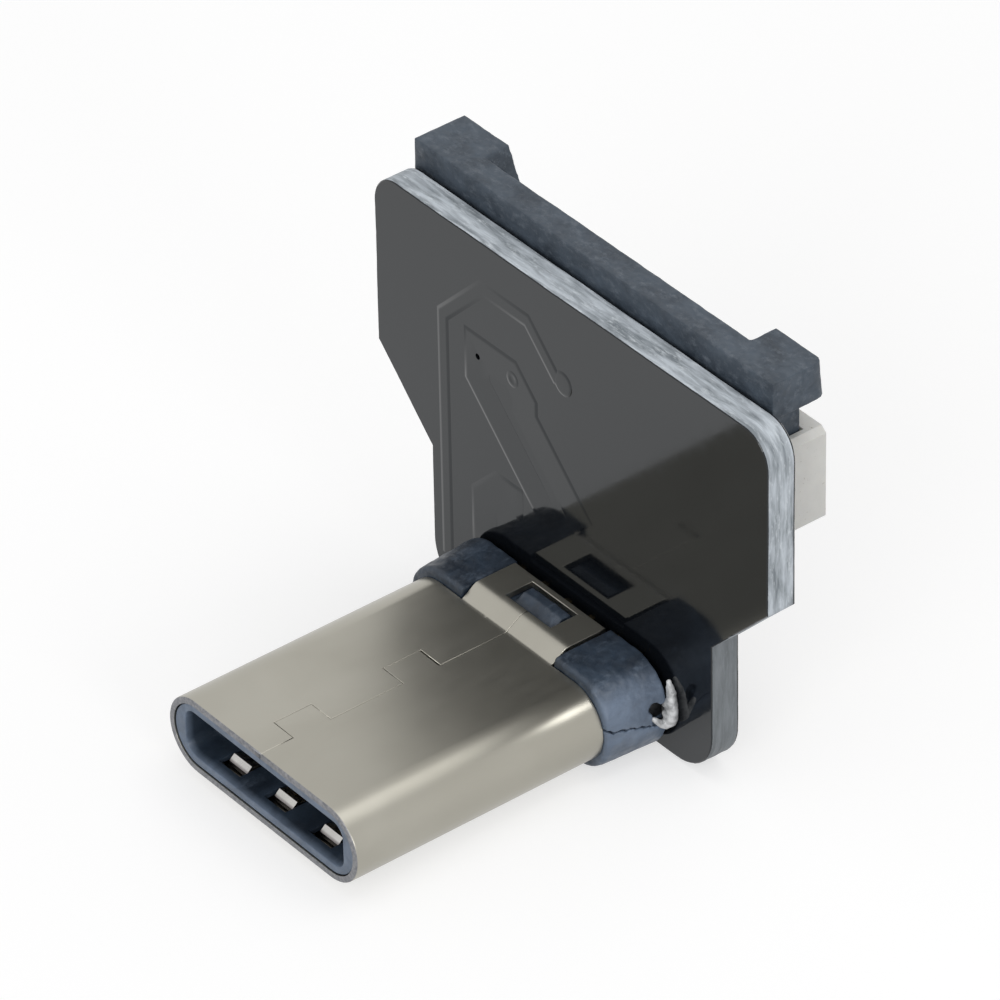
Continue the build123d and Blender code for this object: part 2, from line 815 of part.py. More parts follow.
pieces = {
    "plug_shell": plug_shell,
    "plug_insulator": plug_insulator,
    "upper_ground_spring": upper_ground_spring,
    "lower_ground_spring": lower_ground_spring,
    "upper_contacts": upper_contacts,
    "lower_contacts": lower_contacts,
    "latch_plate": latch_plate,
    "upper_rear_housing": upper_rear_housing,
    "lower_rear_housing": lower_rear_housing,
    "circuit_board": circuit_board,
    "front_tracks": front_tracks,
    "plug_solder": plug_solder,
    "leg_solder": leg_solder,
    "connector_rear": connector_rear,
    "connector_floor": connector_floor,
    "connector_roof": connector_roof,
    "connector_ends": connector_ends,
    "connector_contacts": connector_contacts,
    "connector_anchors": connector_anchors,
    "connector_solder": connector_solder,
    "lock_slider": lock_slider,
    "back_pads": back_pads,
    "resistor_body": resistor_body,
    "resistor_caps": resistor_caps,
    "resistor_solder": resistor_solder,
}
for name, piece in pieces.items():
    piece.part.label = name
    export_step(piece.part, f"parts/{name}.step")
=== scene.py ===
import math

import bmesh
import bpy
from mathutils import Matrix, Vector, noise


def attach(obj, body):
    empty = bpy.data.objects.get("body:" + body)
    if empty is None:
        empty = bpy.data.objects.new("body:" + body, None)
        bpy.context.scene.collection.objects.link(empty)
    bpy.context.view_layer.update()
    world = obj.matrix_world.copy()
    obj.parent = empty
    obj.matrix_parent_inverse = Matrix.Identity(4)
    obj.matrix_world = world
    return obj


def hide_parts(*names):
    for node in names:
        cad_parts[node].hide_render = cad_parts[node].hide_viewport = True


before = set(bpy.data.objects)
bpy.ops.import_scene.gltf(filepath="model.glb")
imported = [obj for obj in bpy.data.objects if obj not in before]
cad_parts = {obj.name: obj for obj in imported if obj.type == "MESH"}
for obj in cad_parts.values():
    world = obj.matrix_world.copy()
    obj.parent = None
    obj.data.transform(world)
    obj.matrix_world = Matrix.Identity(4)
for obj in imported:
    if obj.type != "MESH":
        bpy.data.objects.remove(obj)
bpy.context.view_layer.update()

# Camera: to the right of the plug's nose and above it, where the photograph was taken from.
# A long lens on a square frame, fitted to corners of the shell and the board that have known sizes.
azimuth, elevation, roll = (math.radians(angle) for angle in (52.051, 36.218, -1.163))
lens_millimetres = 310.62
camera_place = (0.146846, -0.114671, 0.142074)

backward = Vector((
    math.sin(azimuth) * math.cos(elevation),
    -math.cos(azimuth) * math.cos(elevation),
    math.sin(elevation),
))
level_right = (-backward).cross(Vector((0, 0, 1))).normalized()
level_up = level_right.cross(-backward)
right = level_right * math.cos(roll) + level_up * math.sin(roll)
up = level_up * math.cos(roll) - level_right * math.sin(roll)

camera = bpy.data.objects.new("photo_view", bpy.data.cameras.new("photo_view"))
camera.data.lens = lens_millimetres
camera.data.sensor_width = 36
camera.data.clip_start = 0.01
camera.data.clip_end = 20
camera.matrix_world = Matrix.Translation(camera_place) @ Matrix((right, up, backward)).transposed().to_4x4()
bpy.context.scene.collection.objects.link(camera)
bpy.context.scene.camera = camera
bpy.context.scene.view_settings.view_transform = "Standard"

# Studio: a pale level floor that the lower flap touches, and a white surround.
# Both look white to the eye and in reflections, and the floor keeps the object's soft shadow.
floor_height, floor_half = -0.001552, 3
floor_colour = (0.50, 0.50, 0.50, 1)
floor_glow = 0.58
surround_light = 0.56


def seen_directly(nodes, links):
    """1 where a ray comes from the eye, from a shiny surface or through a clear one."""
    path = nodes.new("ShaderNodeLightPath")
    total = path.outputs["Is Camera Ray"]
    for kind in ("Is Glossy Ray", "Is Transmission Ray"):
        joined = nodes.new("ShaderNodeMath")
        joined.operation = "ADD"
        joined.use_clamp = True
        links.new(total, joined.inputs[0])
        links.new(path.outputs[kind], joined.inputs[1])
        total = joined.outputs[0]
    return total


surround = bpy.data.worlds.new("white_surround")
surround.use_nodes = True
bpy.context.scene.world = surround
nodes, links = surround.node_tree.nodes, surround.node_tree.links
nodes.clear()
shown, lighting = nodes.new("ShaderNodeBackground"), nodes.new("ShaderNodeBackground")
shown.inputs["Color"].default_value = (1, 1, 1, 1)
lighting.inputs["Color"].default_value = (1, 1, 1, 1)
lighting.inputs["Strength"].default_value = surround_light
choice, surround_out = nodes.new("ShaderNodeMixShader"), nodes.new("ShaderNodeOutputWorld")
links.new(seen_directly(nodes, links), choice.inputs[0])
links.new(lighting.outputs[0], choice.inputs[1])
links.new(shown.outputs[0], choice.inputs[2])
links.new(choice.outputs[0], surround_out.inputs["Surface"])

floor_paint = bpy.data.materials.new("studio_floor")
floor_paint.use_nodes = True
nodes, links = floor_paint.node_tree.nodes, floor_paint.node_tree.links
nodes.clear()
matt, glow = nodes.new("ShaderNodeBsdfDiffuse"), nodes.new("ShaderNodeEmission")
matt.inputs["Color"].default_value = floor_colour
glow_level = nodes.new("ShaderNodeMath")
glow_level.operation = "MULTIPLY"
glow_level.inputs[1].default_value = floor_glow
links.new(seen_directly(nodes, links), glow_level.inputs[0])
links.new(glow_level.outputs[0], glow.inputs["Strength"])
both, floor_out = nodes.new("ShaderNodeAddShader"), nodes.new("ShaderNodeOutputMaterial")
links.new(matt.outputs[0], both.inputs[0])
links.new(glow.outputs[0], both.inputs[1])
links.new(both.outputs[0], floor_out.inputs["Surface"])

floor_mesh = bpy.data.meshes.new("studio_floor")
floor_corners = [(x * floor_half, y * floor_half, floor_height)
                 for x, y in ((-1, -1), (1, -1), (1, 1), (-1, 1))]
floor_mesh.from_pydata(floor_corners, [], [(0, 1, 2, 3)])
floor = bpy.data.objects.new("studio_floor", floor_mesh)
floor.data.materials.append(floor_paint)
bpy.context.scene.collection.objects.link(floor)

# Soft lamps: a wide one in front, a dim one low on the right for the sides, and a weak one overhead.
# A tiny one hangs in front of the board and picks out the rear of the shell's right shoulder.
object_centre = Vector((0, -0.002, 0.003))
shoulder_rear = Vector((0.003680, -0.0008, 0.000933))
lamps = {  # what it points at, direction from there, distance, size and power
    "front_lamp": (object_centre, (0.50, -0.85, 0.55), 0.45, 0.24, 0.50),
    "side_lamp": (object_centre, (0.92, -0.12, 0.30), 0.40, 0.14, 0.27),
    "overhead_lamp": (object_centre, (0.10, 0.25, 1.00), 0.50, 0.35, 0.36),
    "shoulder_lamp": (shoulder_rear, (0.4445, 0.497, 0.7445), 0.0045, 0.0012, 0.000028),
}
for name, (target, direction, distance, size, power) in lamps.items():
    lamp = bpy.data.objects.new(name, bpy.data.lights.new(name, "AREA"))
    lamp.data.size = size
    lamp.data.energy = power
    lamp.location = target + Vector(direction).normalized() * distance
    lamp.rotation_euler = Vector(direction).to_track_quat("Z", "Y").to_euler()
    lamp.visible_camera = False
    bpy.context.scene.collection.objects.link(lamp)


# Contacts and middle plate: 24 stamped contacts of gold-plated copper alloy and a sheet-steel plate
# with the two latch arms. They are laid in first, because the rear housing is moulded round them.
class Finish:
    """A surface finish: one material, whose nodes are added and joined in short lines."""

    def __init__(self, name, metal=0, rough=0.5, gloss=1.45):
        self.material = bpy.data.materials.new(name)
        self.material.use_nodes = True
        self.nodes = self.material.node_tree.nodes
        self.links = self.material.node_tree.links
        self.shader = self.nodes["Principled BSDF"]
        self.shader.inputs["Metallic"].default_value = metal
        self.shader.inputs["Roughness"].default_value = rough
        self.shader.inputs["IOR"].default_value = gloss
        self.place = self.nodes.new("ShaderNodeTexCoord").outputs["Object"]
        self.relief = None

    def node(self, kind, values, **settings):
        """A node of this kind, with its settings, and a value or a link for each of these inputs."""
        made = self.nodes.new("ShaderNode" + kind)
        for name, value in settings.items():
            setattr(made, name, value)
        for name, value in values.items():
            if isinstance(value, bpy.types.NodeSocket):
                self.links.new(value, made.inputs[name])
            else:
                made.inputs[name].default_value = value
        return made

    def mottle(self, per_mm, detail=3, roughness=0.5, shift=0, twist=0):
        """A cloudy pattern from 0 to 1, with this many patches to a millimetre along X, Y and Z."""
        values = {"Vector": self.place, "Scale": [1000 * count for count in per_mm], "Location": [shift] * 3}
        place = self.node("Mapping", values).outputs[0]
        values = {"Vector": place, "Scale": 1, "Detail": detail, "Roughness": roughness, "Distortion": twist}
        return self.node("TexNoise", values).outputs[0]

    def spread(self, pattern, low, high, start=0, end=1):
        """A pattern stretched, so that low to high becomes start to end."""
        values = {0: pattern, 1: low, 2: high, 3: start, 4: end}
        return self.node("MapRange", values).outputs[0]

    def blend(self, pattern, first, second):
        """A colour between two others, or between a colour and another blend, by a pattern."""
        mixed = self.node("Mix", {}, data_type="RGBA")
        for index, value in ((0, pattern), (6, first), (7, second)):
            if isinstance(value, bpy.types.NodeSocket):
                self.links.new(value, mixed.inputs[index])
            elif index == 0:
                mixed.inputs[index].default_value = value
            else:
                mixed.inputs[index].default_value = (*value, 1)
        return mixed.outputs[2]

    def colour(self, source):
        """Gives the surface its colour."""
        self.links.new(source, self.shader.inputs["Base Color"])

    def roughness(self, source):
        """Gives the surface its roughness, from 0 for a mirror to 1 for chalk."""
        self.links.new(source, self.shader.inputs["Roughness"])

    def raise_by(self, pattern, microns, strength=1):
        """Relief of this depth, over any relief that was added before."""
        values = {"Height": pattern, "Distance": microns * 1e-6, "Strength": strength}
        if self.relief is not None:
            values["Normal"] = self.relief
        self.relief = self.node("Bump", values).outputs[0]
        self.links.new(self.relief, self.shader.inputs["Normal"])


def gold_plate():
    """Thin gold over nickel: warm, with paler worn patches and stamping lines along the strip."""
    gold = Finish("gold_plate", metal=1, rough=0.3)
    worn = gold.mottle((1.2, 1.2, 1.2), detail=4)
    gold.colour(gold.blend(gold.spread(worn, 0.35, 0.75), (0.83, 0.61, 0.27), (0.72, 0.62, 0.42)))
    gold.roughness(gold.spread(gold.mottle((6, 2, 6)), 0.3, 0.7, 0.22, 0.42))
    gold.raise_by(gold.mottle((30, 2, 30), detail=2), 1.2)
    return gold


def spring_sheet():
    """Bright nickel-plated spring steel, finely brushed along Y, with painted shade at the ground fingers'
    feet.
    """
    bright = Finish("bright_spring_sheet", metal=1, rough=0.3)
    stain = bright.mottle((0.8, 0.5, 0.8), detail=3)
    plating = bright.blend(bright.spread(stain, 0.35, 0.7), (0.60, 0.59, 0.57), (0.46, 0.45, 0.43))
    # Painted shade: a darker grey wherever the sheet lies more than 0.77 mm above or below the plug's middle,
    # meant for the ground fingers' feet deep in the mouth.
    height = bright.node("SeparateXYZ", {"Vector": bright.place}).outputs["Z"]
    from_middle = bright.node("Math", {0: height}, operation="ABSOLUTE").outputs[0]
    painted_shade_at_foot = bright.spread(from_middle, 0.00073, 0.00077)
    bright.colour(bright.blend(painted_shade_at_foot, plating, (0.26, 0.24, 0.24)))
    bright.roughness(bright.spread(bright.mottle((8, 1, 8)), 0.3, 0.7, 0.24, 0.38))
    bright.raise_by(bright.mottle((30, 1.5, 30), detail=1), 0.3)
    return bright


gold, bright = gold_plate(), spring_sheet()


def soft_copy(node_name, name, rounding):
    """A copy of a CAD node at millimetre size, joined up, with its sharp edges rounded."""
    copy = bmesh.new()
    copy.from_mesh(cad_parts[node_name].data)
    bmesh.ops.scale(copy, vec=(1000, 1000, 1000), verts=copy.verts)
    bmesh.ops.remove_doubles(copy, verts=copy.verts, dist=0.0005)
    bmesh.ops.dissolve_limit(copy, angle_limit=math.radians(1), verts=copy.verts, edges=copy.edges)
    piece = make_piece(name, copy)
    round_edges(piece, rounding)
    return piece


def make_piece(name, shape):
    """An object from a bmesh in millimetres."""
    bmesh.ops.recalc_face_normals(shape, faces=shape.faces)
    mesh = bpy.data.meshes.new(name)
    shape.to_mesh(mesh)
    shape.free()
    piece = bpy.data.objects.new(name, mesh)
    bpy.context.scene.collection.objects.link(piece)
    return piece


def settle(piece):
    """Turns a piece's modifiers into plain mesh."""
    bpy.context.view_layer.update()
    ready = piece.evaluated_get(bpy.context.evaluated_depsgraph_get())
    old, piece.data = piece.data, bpy.data.meshes.new_from_object(ready)
    piece.modifiers.clear()
    bpy.data.meshes.remove(old)


def round_edges(piece, radius, steps=2, sharpness=35):
    """Rounds every edge that turns more than so many degrees, and shades the rest evenly."""
    piece.data.shade_smooth()
    rounding = piece.modifiers.new("rounding", "BEVEL")
    rounding.width = radius
    rounding.segments = steps
    rounding.limit_method = "ANGLE"
    rounding.angle_limit = math.radians(sharpness)
    even = piece.modifiers.new("even", "WEIGHTED_NORMAL")
    even.weight = 60
    settle(piece)


def fit(piece, finish, slot, *nodes, body="adapter"):
    """Puts a millimetre-size piece on the object, in place of these CAD nodes."""
    piece.data.transform(Matrix.Scale(0.001, 4))
    if not piece.data.materials:
        piece.data.materials.append(finish.material)
    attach(piece, body)
    if nodes:
        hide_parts(*nodes)


fit(soft_copy("upper_contacts", "upper_contact_row", 0.02), gold, "contact_metal", "upper_contacts")
fit(soft_copy("lower_contacts", "lower_contact_row", 0.02), gold, "contact_metal", "lower_contacts")
plate_half_width = 4.14  # so that its shoulders end just inside the collar's notches
middle_plate = soft_copy("latch_plate", "middle_plate", 0.03)
for vertex in middle_plate.data.vertices:
    vertex.co.x = max(-plate_half_width, min(plate_half_width, vertex.co.x))
fit(middle_plate, bright, "spring_steel", "latch_plate")

# Rear housing: two mouldings of slate-blue plastic that close round the contacts. Each has a seat
# and a snap bump for a flap of the shell. The joint between them is ragged, and the soldering iron
# has left a small pit in the right cheek, whose inside is painted black as shade. The right cheek
# itself is painted paler as painted light.
collar_length, collar_half_height, collar_corner = 2.00, 1.50, 1.35
collar_front_half, collar_rear_half = 4.30, 4.45
front_rim = [(0, 0.12), (0.02, 0.062), (0.06, 0.02), (0.12, 0)]  # distance back, and how far in
rear_rim = [(1.97, 0.008), (2.0, 0.03)]
ring_spacing, arc_steps = 0.0637, 18
joint_front, joint_rear, joint_left, joint_gap = 0.28, -0.30, 0.02, 0.05
lower_set_in = 0.03
seat_half_width = 2.00
seat_line = [(-1, 0.95), (0, 0.95), (0.5, 1.30), (3, 1.30), (3, 3), (-1, 3)]
bump_line = [(0.93, 1.20), (1.57, 1.20), (1.57, 1.50), (1.26, 1.50), (0.93, 1.28)]
bump_half_width = 0.83
notch_line = [(4.18, 1.52), (4.9, 1.40), (4.9, 2.6), (4.18, 2.6)]
notch_low, notch_high = -0.6, 0.42
pit_centre, pit_radii = Vector((4.38, 1.57, 0.38)), (0.22, 0.19, 0.16)
# Centre of the painted shade that blackens the inside of the pit.
painted_shade_centre = Vector((4.17, 1.80, 0.17))


def prism(shape, outline, place, ends):
    """Adds a solid with this outline between two ends. place(a, b, end) gives each corner."""
    first, last = ([shape.verts.new(place(a, b, end)) for a, b in outline] for end in ends)
    shape.faces.new(first[::-1])
    shape.faces.new(last)
    for n in range(len(outline)):
        shape.faces.new((first[n - 1], first[n], last[n], last[n - 1]))


def join_rings(shape, rings):
    """Adds the walls from each ring of corners to the next, and closes both ends."""
    for near, far in zip(rings, rings[1:]):
        for n in range(len(near)):
            shape.faces.new((near[n - 1], near[n], far[n], far[n - 1]))
    shape.faces.new(rings[0])
    shape.faces.new(rings[-1][::-1])


def side_on(y, z, x):
    """Place of a corner whose outline is drawn as seen from the side."""
    return x, y, z


def cut_or_join(piece, operation, shape):
    """Cuts a shape out of a piece, or joins it on."""
    tool = make_piece("tool", shape)
    step = piece.modifiers.new("step", "BOOLEAN")
    step.operation = operation
    step.solver = "EXACT"
    step.object = tool
    settle(piece)
    bpy.data.objects.remove(tool)


def mould(piece, grain, smoothing, roughening, patches):
    """Gives a plastic piece soft edges and a slightly uneven skin, as it comes from the mould."""
    skin = piece.modifiers.new("skin", "REMESH")
    skin.mode = "VOXEL"
    skin.voxel_size = grain
    ease = piece.modifiers.new("ease", "SMOOTH")
    ease.factor = 0.5
    ease.iterations = smoothing
    settle(piece)
    mesh = piece.data
    normals = [vertex.normal.copy() for vertex in mesh.vertices]
    for vertex, normal in zip(mesh.vertices, normals):
        wave = noise.fractal(vertex.co * patches, 0.8, 2.1, 3)
        vertex.co += normal * (wave - 0.6) * roughening
    mesh.shade_smooth()


def collar_joint(y, side):
    """Height of the joint between the two halves, on the right side (1) or the left (-1)."""
    steps, teeth = noise.noise(Vector((y * 6.5, side * 3.7, 0))), noise.noise(Vector((y * 19, side, 5)))
    ragged = 0.10 * steps + 0.06 * teeth
    if side < 0:
        return joint_left + ragged
    return joint_front + (joint_rear - joint_front) * y / collar_length + ragged


def collar_side(along, half_width, inset):
    """Point on the collar's side, so far along its outline from mid-height, as (x, z)."""
    straight = collar_half_height - collar_corner
    if abs(along) <= straight:
        return half_width - inset, along
    turn = (abs(along) - straight) / collar_corner
    round_radius = collar_corner - inset
    z = straight + round_radius * math.sin(turn)
    return half_width - collar_corner + round_radius * math.cos(turn), math.copysign(z, along)


def collar_half(name, upper):
    """One half of the collar, up to the joint, with the flap's seat cut in it and the bump on that."""
    way = 1 if upper else -1
    top_along = collar_half_height - collar_corner + collar_corner * math.pi / 2
    stations = front_rim + [(front_rim[-1][0] + ring_spacing * n, 0) for n in range(1, 29)] + rear_rim
    shape = bmesh.new()
    rings = []
    for y, inset in stations:
        half_width = collar_front_half + (collar_rear_half - collar_front_half) * y / collar_length
        if not upper:
            half_width -= lower_set_in
        ring = []
        for side in (1, -1):
            joint = collar_joint(y, side) - (0 if upper else joint_gap)
            straight = collar_half_height - collar_corner
            if abs(joint) <= straight:
                start = joint
            else:
                turn = math.asin((abs(joint) - straight) / collar_corner)
                start = math.copysign(straight + collar_corner * turn, joint)
            steps = [start + (way * top_along - start) * n / arc_steps for n in range(arc_steps + 1)]
            places = [collar_side(along, half_width, inset) for along in steps]
            if side < 0:
                places.reverse()
            ring += [shape.verts.new((side * x, y, z)) for x, z in places]
        rings.append(ring)
    join_rings(shape, rings)
    piece = make_piece(name, shape)

    seat = bmesh.new()
    prism(seat, [(y, way * z) for y, z in seat_line], side_on, (-seat_half_width, seat_half_width))
    cut_or_join(piece, "DIFFERENCE", seat)
    bump = bmesh.new()
    prism(bump, [(y, way * z) for y, z in bump_line], side_on, (-bump_half_width, bump_half_width))
    cut_or_join(piece, "UNION", bump)
    return piece


def slate_moulding(name, axis, painted_light_from, painted_light_to):
    """Slate-blue plastic with paler rubbed patches, faint flow lines and a fine matt skin.
    It has painted light, paler between two places along an axis, and painted shade, black in the pit."""
    slate = Finish(name, rough=0.42, gloss=1.5)
    cloud = slate.mottle((1.1, 0.9, 1.3), detail=5, roughness=0.62, twist=0.6)
    rubbed = slate.spread(slate.mottle((2.6, 1.2, 2.2), detail=6, roughness=0.7, shift=7), 0.55, 0.78)
    base = slate.blend(slate.spread(cloud, 0.35, 0.68), (0.013, 0.021, 0.034), (0.038, 0.058, 0.088))
    used = slate.blend(rubbed, base, (0.10, 0.13, 0.175))
    along = slate.node("SeparateXYZ", {"Vector": slate.place}).outputs[axis]
    # Painted light: the band named worn is not wear. It is a paler colour where light falls, between the two
    # places given.
    worn = slate.spread(along, painted_light_from / 1000, painted_light_to / 1000)
    uneven = slate.spread(cloud, 0.2, 0.7, 0.35, 0.9)
    painted_light_patches = slate.node("Math", {0: worn, 1: uneven}, operation="MULTIPLY").outputs[0]
    colour_with_painted_light = slate.blend(painted_light_patches, used, (0.19, 0.245, 0.335))
    # Painted shade: black round the centre given, inside the pit, where the hollow lies in shade.
    ends = {0: slate.place, 1: painted_shade_centre / 1000}
    from_painted_shade = slate.node("VectorMath", ends, operation="DISTANCE").outputs["Value"]
    slate.colour(slate.blend(slate.spread(from_painted_shade, 0.00025, 0.00031), (0.004, 0.004, 0.005), colour_with_painted_light))
    slate.roughness(slate.spread(slate.mottle((5, 5, 5), detail=4), 0.3, 0.7, 0.34, 0.58))
    slate.raise_by(slate.mottle((3, 3, 3), detail=4), 14)
    slate.raise_by(slate.mottle((22, 22, 22), detail=3, shift=3), 3)
    return slate


# The collar's painted light is on its right cheek, 3.5 to 4.3 mm out, paler where the lamp on the right
# falls.
slate = slate_moulding("slate_moulding", "X", 3.5, 4.3)
upper_collar = collar_half("upper_collar", True)
corner_notch = bmesh.new()
for side in (-1, 1):
    prism(corner_notch, notch_line, lambda x, y, z, side=side: (side * x, y, z), (notch_low, notch_high))
cut_or_join(upper_collar, "DIFFERENCE", corner_notch)
pit = bmesh.new()
pit_place = Matrix.Translation(pit_centre) @ Matrix.Diagonal((*pit_radii, 1))
bmesh.ops.create_icosphere(pit, subdivisions=3, radius=1, matrix=pit_place)
cut_or_join(upper_collar, "DIFFERENCE", pit)
mould(upper_collar, 0.036, 3, 0.016, 2.6)
fit(upper_collar, slate, "slate_plastic", "upper_rear_housing")

lower_collar = collar_half("lower_collar", False)
mould(lower_collar, 0.040, 3, 0.016, 2.4)
fit(lower_collar, slate, "slate_plastic", "lower_rear_housing")

# Front moulding: the slate-blue block that fills the shell's nose round the mating cavity.
# It is pushed on from the front, over the contacts, and its rim is chamfered to lead the plug in.
front_moulding = soft_copy("plug_insulator", "front_moulding", 0.03)
# The nose moulding's painted light is on its front rim, paler over the last 0.3 mm before the mouth.
fit(front_moulding, slate_moulding("nose_moulding", "Y", -8.10, -8.33), "slate_plastic", "plug_insulator")

# Ground springs: a bright stamped spring above the cavity and one below, clipped in the moulding's
# pockets. Each has three fingers that show as bright pads behind the rim.
tip_start, tip_low, tip_high, tip_draw_in = -7.6, 0.78, 0.90, 0.94
for half in ("upper", "lower"):
    spring = soft_copy(half + "_ground_spring", half + "_ground_fingers", 0.02)
    for vertex in spring.data.vertices:
        if vertex.co.y < tip_start and tip_low < abs(vertex.co.z) < tip_high:
            vertex.co.z *= tip_draw_in
    fit(spring, bright, "spring_steel", half + "_ground_spring")

# Shell: one stamping of nickel-plated stainless sheet, rolled round until its two ends meet on top.
# Two square tabs lock the seam, and a raised flap with a window, above and below, holds the collar.
shell_radius, shell_flat, sheet = 1.20, 2.925, 0.20
flap_half, window_half, tab_depth = 1.95, 0.97, 0.86
seam = 0.002  # half the gap along the plug
tab_rows = [(-3.58, -2.32), (-7.29, -6.03)]
tab_play = {-3.58: 0.004, -2.32: 0.022, -7.29: 0.002, -6.03: 0.002}  # half the gap at each end of a tab
window_start, window_end, flap_end, mouth = 0.73, 1.66, 1.85, -8.40
ramp = [  # distance back, rise and slope in degrees
    (-0.12, 0, 0), (0.0, 0.012, 12), (0.08, 0.055, 31), (0.25, 0.175, 35),
    (0.42, 0.295, 31), (0.50, 0.338, 12), (0.60, 0.35, 0),
]
ramp_rows = [0.14, 0.34]
round_steps = 26
edge_rounding, rounding_elsewhere = 0.06, 0.35  # at the mouth, and what share of it the other edges have


def flap_profile(y):
    """Rise of the flap's sheet at this place, and its slope in radians."""
    if y <= ramp[0][0]:
        return 0, 0
    for (y0, rise0, slope0), (y1, rise1, slope1) in zip(ramp, ramp[1:]):
        if y <= y1:
            share = (y - y0) / (y1 - y0)
            return rise0 + (rise1 - rise0) * share, math.radians(slope0 + (slope1 - slope0) * share)
    return ramp[-1][1], 0


def roll_shell():
    """The stamped sheet as a grid of cells: the cells that are metal, rolled up and given thickness."""
    top_right = [(x, 90) for x in (seam, window_half, flap_half)]
    right_round = [(shell_flat, 90 - 180 * n / round_steps) for n in range(round_steps + 1)]
    under = [(x, -90) for x in (flap_half, window_half, -window_half, -flap_half)]
    left_round = [(-shell_flat, -90 - 180 * n / round_steps) for n in range(round_steps + 1)]
    top_left = [(x, 90) for x in (-flap_half, -window_half, -tab_depth - seam, -tab_depth + seam, -seam)]
    stations = top_right + right_round + under + left_round + top_left
    seam_rows = [edge + way * play for edge, play in tab_play.items() for way in (-1, 1)]
    ramp_rows_all = ramp_rows + [y for y, _, _ in ramp]
    rows = sorted([mouth, window_start, window_end, flap_end] + ramp_rows_all + seam_rows)

    def is_metal(column, row):
        (x0, angle0), (x1, angle1) = stations[column], stations[(column + 1) % len(stations)]
        y = (rows[row] + rows[row + 1]) / 2
        x = (x0 + x1) / 2
        flat = angle0 == angle1 and x0 != x1
        on_top = flat and angle0 == 90
        if y > 0 and not (flat and abs(x) < flap_half):
            return False
        if abs(x) < window_half and window_start < y < window_end and flat:
            return False
        if not on_top or y > window_end:
            return True
        in_tab = any(low < y < high for low, high in tab_rows)
        if any(abs(y - edge) < play for edge, play in tab_play.items()):
            return not -tab_depth - seam < x < seam
        return abs(x + tab_depth) > seam if in_tab else abs(x) > seam

    def point(column, y, outward):
        centre, angle = stations[column]
        rise, slope = flap_profile(y) if abs(centre) <= flap_half else (0, 0)
        normal = Vector((math.cos(math.radians(angle)), 0, math.sin(math.radians(angle))))
        middle = Vector((centre, y, 0)) + normal * (shell_radius - sheet / 2 + rise)
        return middle + (normal * math.cos(slope) - Vector((0, math.sin(slope), 0))) * outward * sheet / 2

    shape = bmesh.new()
    made = {}

    def corner(column, row, outward):
        key = (column % len(stations), row, outward)
        if key not in made:
            made[key] = shape.verts.new(point(key[0], rows[row], outward))
        return made[key]

    metal = {(c, r) for c in range(len(stations)) for r in range(len(rows) - 1) if is_metal(c, r)}
    walls = set()
    for c, r in metal:
        loop = [(c, r), (c + 1, r), (c + 1, r + 1), (c, r + 1)]
        shape.faces.new([corner(*at, 1) for at in loop])
        shape.faces.new([corner(*at, -1) for at in loop[::-1]])
        beside = [(c, r - 1), ((c + 1) % len(stations), r), (c, r + 1), ((c - 1) % len(stations), r)]
        for n, neighbour in enumerate(beside):
            if neighbour not in metal:
                a, b = loop[n], loop[(n + 1) % 4]
                walls.add(shape.faces.new((corner(*b, 1), corner(*a, 1), corner(*a, -1), corner(*b, -1))))
    skins = {vertex: outward for (_, _, outward), vertex in made.items()}
    weight = shape.edges.layers.float.new("bevel_weight_edge")
    for edge in shape.edges:
        cut = sum(face in walls for face in edge.link_faces) == 1 and len(edge.link_faces) == 2
        if cut:
            at_mouth = all(v.co.y < mouth + 0.001 for v in edge.verts)
            outside = all(skins[v] == 1 for v in edge.verts)
            edge[weight] = 1 if at_mouth and outside else rounding_elsewhere
    for face in walls:
        face.material_index = all(v.co.y < mouth + 0.001 for v in face.verts)
    return shape


def nickel_sheet():
    """Satin nickel over stainless sheet: warm grey, faintly drawn along the plug, with soft stains."""
    nickel = Finish("nickel_sheet", metal=1, rough=0.4)
    stain = nickel.mottle((0.35, 0.25, 0.35), detail=3, twist=0.4)
    base = nickel.blend(nickel.spread(stain, 0.35, 0.68), (0.415, 0.400, 0.350), (0.375, 0.360, 0.312))
    specks = nickel.spread(nickel.mottle((9, 5, 9), detail=5, roughness=0.7), 0.66, 0.9)
    nickel.colour(nickel.blend(specks, base, (0.33, 0.32, 0.29)))
    nickel.roughness(nickel.spread(nickel.mottle((3, 1, 3), detail=5), 0.3, 0.7, 0.29, 0.32))
    nickel.raise_by(nickel.mottle((40, 5, 40), detail=2), 0.15)
    nickel.raise_by(nickel.mottle((0.3, 0.25, 0.3), detail=1), 1.5)
    return nickel


def sheared_edge():
    """The sheet's cut end at the mouth: greyer and rougher than its faces, with fine shear lines."""
    sheared = Finish("sheared_edge", metal=1, rough=0.5)
    lines = sheared.mottle((9, 3, 9), detail=4, roughness=0.6)
    sheared.colour(sheared.blend(sheared.spread(lines, 0.35, 0.68), (0.17, 0.175, 0.19), (0.31, 0.31, 0.32)))
    sheared.roughness(sheared.spread(lines, 0.3, 0.7, 0.38, 0.55))
    sheared.raise_by(lines, 4)
    return sheared


nickel = nickel_sheet()
shell = make_piece("rolled_shell", roll_shell())
shell.data.materials.append(nickel.material)
shell.data.materials.append(sheared_edge().material)
shell.data.shade_smooth()
rounding = shell.modifiers.new("rounding", "BEVEL")
rounding.width = edge_rounding
rounding.segments = 3
rounding.limit_method = "WEIGHT"
even = shell.modifiers.new("even", "WEIGHTED_NORMAL")
even.weight = 60
settle(shell)
fit(shell, nickel, "shell_steel", "plug_shell")

